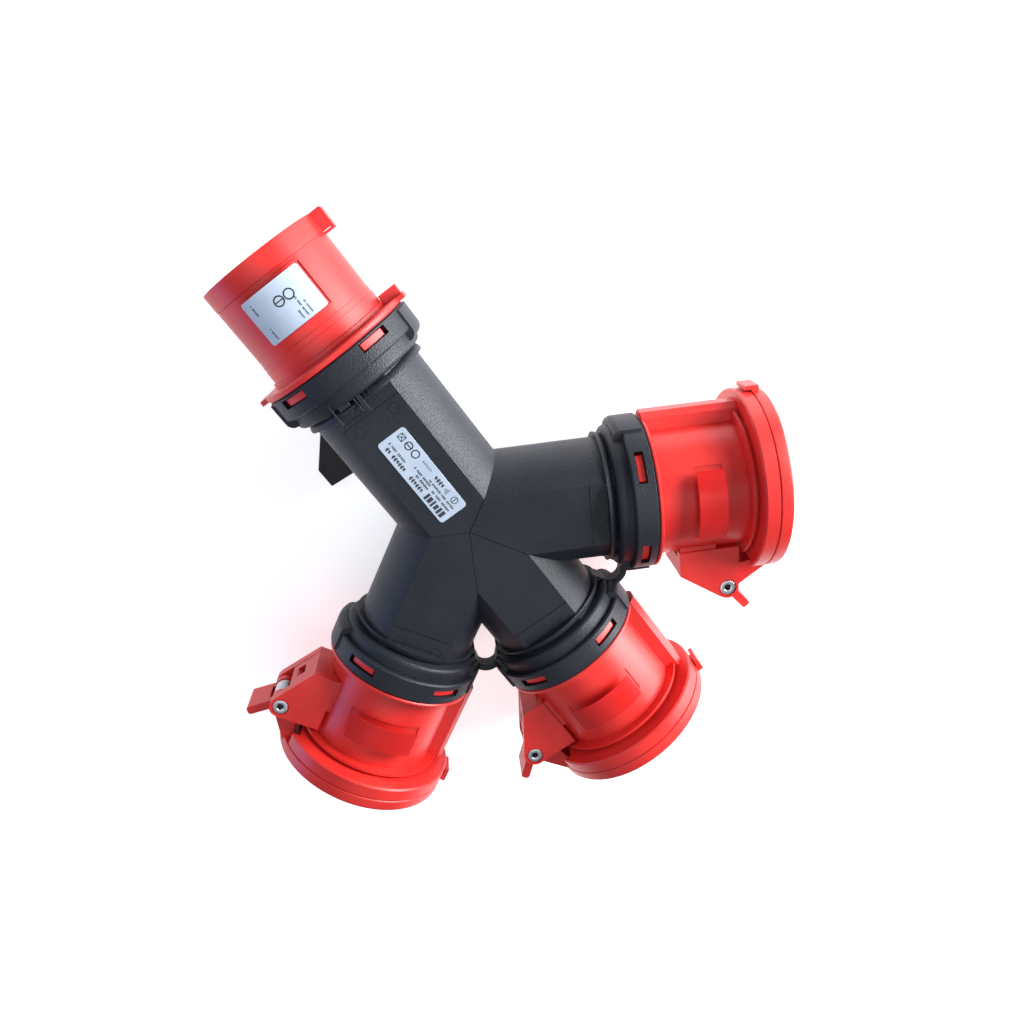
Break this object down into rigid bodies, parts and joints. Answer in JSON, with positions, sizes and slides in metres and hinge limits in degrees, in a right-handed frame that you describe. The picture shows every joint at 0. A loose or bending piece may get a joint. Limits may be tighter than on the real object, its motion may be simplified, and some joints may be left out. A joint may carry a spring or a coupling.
{
  "type": "three-way industrial outlet adapter",
  "caption": "Hand-held power distributor: a keyed round five-pole plug arm splits into fanned arms with hinged-lid outlets, in a dark two-shell body with a swivel hook.",
  "frame": {"origin": "middle of the outline seen from above, where the four arm axes cross, on the resting plane under the lid rims and the hook", "axes": "+X along the middle outlet, -X along the plug, +Y towards the left outlet, +Z out of the labelled face"},
  "size_m": [0.2888, 0.288, 0.086],
  "materials": {
    "body_grey": "anthracite, fine spark-eroded grain",
    "red": "satin signal red",
    "steel": "bright zinc plated",
    "label": "printed film label",
    "hook_black": "matt black",
    "rubber": "matt",
    "brass": "turned, bright",
    "insert_grey": "moulded",
    "wire_sheath": "PVC sheath"
  },
  "bodies": {
    "body": {"front_shell": "body_grey", "rear_shell": "body_grey", "shell_screws": "steel", "rating_label": "label", "hook_screw": "steel", "plug_shroud": "red", "plug_insert": "insert_grey", "plug_pins": "brass", "plug_earth_pin": "brass", "plug_terminal_screws": "steel", "plug_seal": "rubber", "plug_label": "label", "left_barrel": "red", "left_carrier": "insert_grey", "left_sleeves": "brass", "left_terminal_screws": "steel", "left_seal": "rubber", "left_hinge_pin": "steel", "left_wires": "wire_sheath", "middle_barrel": "red", "middle_carrier": "insert_grey", "middle_sleeves": "brass", "middle_terminal_screws": "steel", "middle_seal": "rubber", "middle_hinge_pin": "steel", "middle_wires": "wire_sheath", "right_barrel": "red", "right_carrier": "insert_grey", "right_sleeves": "brass", "right_terminal_screws": "steel", "right_seal": "rubber", "right_hinge_pin": "steel", "right_wires": "wire_sheath"},
    "left_lid": {"left_lid": "red", "left_lid_seal": "rubber", "left_spring": "steel"},
    "middle_lid": {"middle_lid": "red", "middle_lid_seal": "rubber", "middle_spring": "steel"},
    "right_lid": {"right_lid": "red", "right_lid_seal": "rubber", "right_spring": "steel"},
    "hook": {"hanging_hook": "hook_black"}
  },
  "joints": [
    {"name": "left_lid_hinge", "type": "hinge", "parent": "body", "child": "left_lid", "pos_m": [0.10065, 0.07872, 0.0486], "axis": [0, 0, -1], "range_deg": [0, 105], "stiffness_Nm_per_rad": 0.04, "springref_deg": -34.38},
    {"name": "middle_lid_hinge", "type": "hinge", "parent": "body", "child": "middle_lid", "pos_m": [0.1185, -0.0478, 0.0486], "axis": [0, 0, -1], "range_deg": [0, 105], "stiffness_Nm_per_rad": 0.04, "springref_deg": -34.38},
    {"name": "right_lid_hinge", "type": "hinge", "parent": "body", "child": "right_lid", "pos_m": [0.01785, -0.12652, 0.0486], "axis": [0, 0, -1], "range_deg": [0, 105], "stiffness_Nm_per_rad": 0.04, "springref_deg": -34.38},
    {"name": "hook_swivel", "type": "hinge", "parent": "body", "child": "hook", "pos_m": [-0.058, 0, 0.0025], "axis": [0, 0, 1], "range_deg": [-90, 90]}
  ]
}
